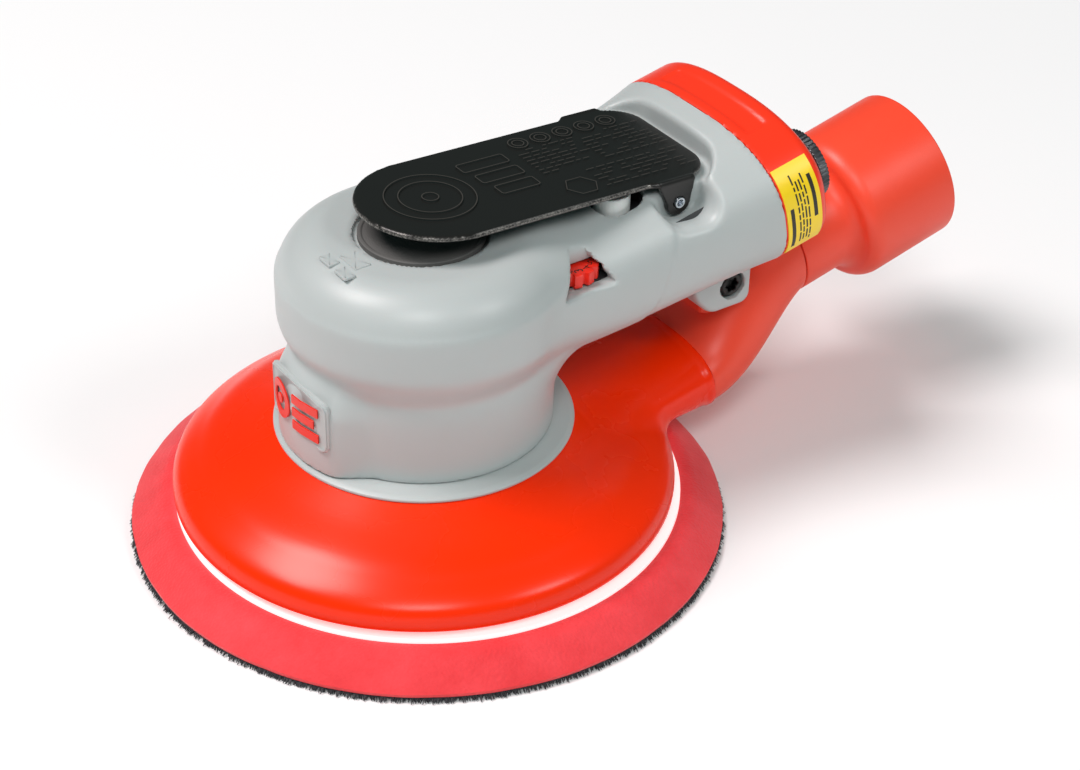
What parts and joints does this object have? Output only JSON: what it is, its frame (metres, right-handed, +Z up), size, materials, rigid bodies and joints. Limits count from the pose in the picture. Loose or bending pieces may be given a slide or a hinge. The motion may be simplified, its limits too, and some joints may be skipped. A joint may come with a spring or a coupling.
{
  "type": "orbital sander",
  "caption": "Air-driven random orbital sander with a round foam pad, dust shroud, palm lever, grey grip handle and a swivelling vacuum hose cuff.",
  "frame": {"origin": "on the motor axis, in the plane of the hook face that holds the sanding disc", "axes": "+Z up along the motor axis, away from the work; +X towards the hose end of the handle; +Y to the side away from the speed dial"},
  "size_m": [0.2332, 0.15, 0.095],
  "materials": {
    "core": "satin",
    "grip_grey": "satin soft-touch",
    "badge": "satin",
    "dark_disc": "matt",
    "shroud_red": "gloss",
    "tube_red": "satin",
    "cap_red": "satin gloss",
    "label_yellow": "satin",
    "bushing_grey": "phosphated",
    "ring_dark": "black oxide",
    "steel": "ground",
    "zinc": "bright zinc",
    "black_steel": "satin black",
    "screw_dark": "black oxide",
    "seal": "matt",
    "brass": "machined",
    "sinter": "porous",
    "cast_alloy": "machined",
    "vane": "matt",
    "plate_white": "satin",
    "foam_red": "matt closed-cell foam",
    "hook_black": "hook sheet"
  },
  "bodies": {
    "body": {"housing": "core", "grip": "grip_grey", "front_badge": "badge", "head_disc": "dark_disc", "flange_ring": "grip_grey", "shroud_ring": "steel", "shroud": "shroud_red", "exhaust_tube": "tube_red", "tube_screw": "screw_dark", "tube_nut": "steel", "end_cap": "cap_red", "cap_label": "label_yellow", "inlet_bushing": "bushing_grey", "inlet_ring": "ring_dark", "inlet_seal": "seal", "inlet_screen": "steel", "muffler": "sinter", "lever_pin": "zinc", "valve_seat": "brass", "valve_spring": "steel", "stem_bushing": "grip_grey", "stem_seal": "seal", "dial_seal": "seal", "motor_cylinder": "steel", "rear_endplate": "cast_alloy", "front_endplate": "cast_alloy", "rear_bearing": "steel", "front_bearing": "steel", "motor_lock_ring": "ring_dark", "motor_seal": "seal", "cylinder_pin": "steel", "cuff_ring": "seal"},
    "lever": {"throttle_lever": "black_steel"},
    "stem": {"valve_stem": "steel"},
    "valve": {"throttle_valve": "seal"},
    "dial": {"speed_dial": "cap_red"},
    "shaft": {"shaft_balancer": "steel", "rotor": "steel", "rotor_vanes": "vane", "rotor_key": "steel", "shaft_snap_ring": "steel", "spindle_bearings": "steel", "bearing_retainer": "ring_dark"},
    "pad": {"spindle": "steel", "spindle_ring": "steel", "pad_stud": "steel", "pad_plate": "plate_white", "pad_foam": "foam_red", "hook_face": "hook_black"},
    "cuff": {"hose_cuff": "tube_red"}
  },
  "joints": [
    {"name": "lever_pivot", "type": "hinge", "parent": "body", "child": "lever", "pos_m": [0.06, 0, 0.081], "axis": [0, -1, 0], "range_deg": [0, 4.5], "stiffness_Nm_per_rad": 4, "springref_deg": -2.86},
    {"name": "stem_slide", "type": "slide", "parent": "body", "child": "stem", "axis": [0, 0, -1], "range_m": [0, 0.0012]},
    {"name": "valve_tilt", "type": "hinge", "parent": "body", "child": "valve", "pos_m": [0.05428, -0.013, 0.06882], "axis": [0, -1, 0], "range_deg": [0, 6.8], "deforming": ["valve_spring"]},
    {"name": "dial_turn", "type": "hinge", "parent": "body", "child": "dial", "pos_m": [0.029, -0.019, 0], "axis": [0, 0, 1], "range_deg": [-60, 60]},
    {"name": "motor_spin", "type": "hinge", "parent": "body", "child": "shaft", "pos_m": [0, 0, 0], "axis": [0, 0, 1], "continuous": true},
    {"name": "pad_spin", "type": "hinge", "parent": "shaft", "child": "pad", "pos_m": [0.0012, 0, 0], "axis": [0, 0, 1], "continuous": true},
    {"name": "cuff_swivel", "type": "hinge", "parent": "body", "child": "cuff", "pos_m": [0.1547, 0, 0.0541], "axis": [0.974, 0, 0.2267], "continuous": true}
  ],
  "couplings": [
    {"joint": "stem_slide", "follows": "lever_pivot", "m_per_rad": 0.0145},
    {"joint": "valve_tilt", "follows": "lever_pivot", "ratio": 1.4321}
  ]
}
